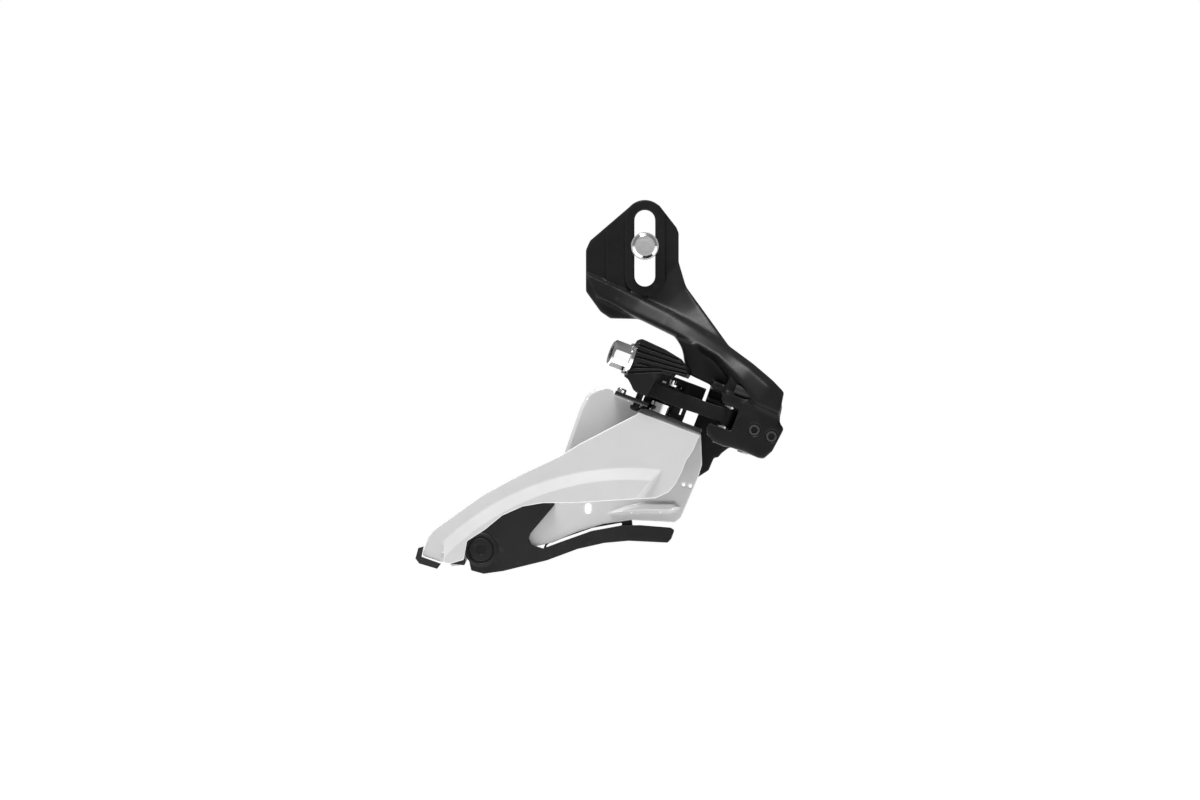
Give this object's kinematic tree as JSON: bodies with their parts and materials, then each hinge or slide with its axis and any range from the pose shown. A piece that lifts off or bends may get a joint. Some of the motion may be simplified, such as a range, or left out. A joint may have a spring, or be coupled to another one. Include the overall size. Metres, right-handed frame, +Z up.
{
  "type": "front derailleur",
  "caption": "Side-swing front derailleur with a slotted direct-mount bracket, parallel links, a ribbed cable arm and a chain cage with a plastic skid plate",
  "frame": {"origin": "middle of the mounting slot on the flat mount face", "axes": "+X forward along the bicycle, +Y inboard toward the frame, out of the mount face, +Z up along the slot"},
  "size_m": [0.1171, 0.0484, 0.1191],
  "materials": {
    "black_cast": "satin black coating on a casting",
    "black_link": "matte black coating",
    "black_sheet": "satin black sheet",
    "black_pin": "blackened steel",
    "black_screw": "black oxide",
    "black_plastic": "matte black nylon",
    "cage_grey": "satin light grey coating",
    "silver": "zinc plated",
    "steel": "plain"
  },
  "bodies": {
    "base": {"bracket_body": "black_cast", "cable_liner": "black_plastic", "base_outer_pin": "steel", "base_inner_pin": "steel", "base_thrust_washers": "silver", "return_spring": "steel"},
    "bolt": {"mount_bolt": "silver", "mount_washer": "silver"},
    "low_screw": {"low_limit_screw": "black_screw"},
    "high_screw": {"high_limit_screw": "black_screw"},
    "outer_link": {"outer_link": "black_link", "outer_link_bushings": "steel", "cable_clamp_bolt": "silver", "cable_clamp_washer": "silver"},
    "inner_link": {"inner_link": "black_link", "inner_link_bushings": "steel"},
    "cage": {"cage_carrier": "black_sheet", "outer_cage_plate": "cage_grey", "inner_cage_plate": "cage_grey", "cage_outer_pin": "black_pin", "cage_inner_pin": "silver", "cage_pin_clip": "silver", "bridge_collar": "silver", "carrier_rivets": "silver", "tail_rivet": "silver", "tail_spacer": "silver", "tail_bracket": "black_plastic", "tail_clip": "black_plastic", "skid_plate": "black_plastic", "skid_plate_rivet": "black_pin"}
  },
  "joints": [
    {"name": "cage_swing", "type": "hinge", "parent": "base", "child": "outer_link", "pos_m": [0.0262, -0.029, -0.054], "axis": [0.3535, 0, 0.9354], "range_deg": [0, 24.5], "stiffness_Nm_per_rad": 0.15, "springref_deg": -17.19, "deforming": ["return_spring"]},
    {"name": "inner_swing", "type": "hinge", "parent": "base", "child": "inner_link", "pos_m": [0.03406, -0.019, -0.05697], "axis": [0.3535, 0, 0.9354], "range_deg": [0, 24.5]},
    {"name": "cage_level", "type": "hinge", "parent": "outer_link", "child": "cage", "pos_m": [-0.00048, -0.02499, -0.04392], "axis": [0.3535, 0, 0.9354], "range_deg": [-24.5, 0]},
    {"name": "bolt_height", "type": "slide", "parent": "base", "child": "bolt", "axis": [0, 0, 1], "range_m": [-0.0092, 0.008]},
    {"name": "low_limit_turn", "type": "hinge", "parent": "base", "child": "low_screw", "pos_m": [0.03465, -0.029, -0.05794], "axis": [0, 1, 0], "range_deg": [-720, 720]},
    {"name": "high_limit_turn", "type": "hinge", "parent": "base", "child": "high_screw", "pos_m": [0.04008, -0.029, -0.05999], "axis": [0, 1, 0], "range_deg": [-720, 720]}
  ],
  "couplings": [
    {"joint": "inner_swing", "follows": "cage_swing", "ratio": 1},
    {"joint": "cage_level", "follows": "cage_swing", "ratio": -1}
  ]
}
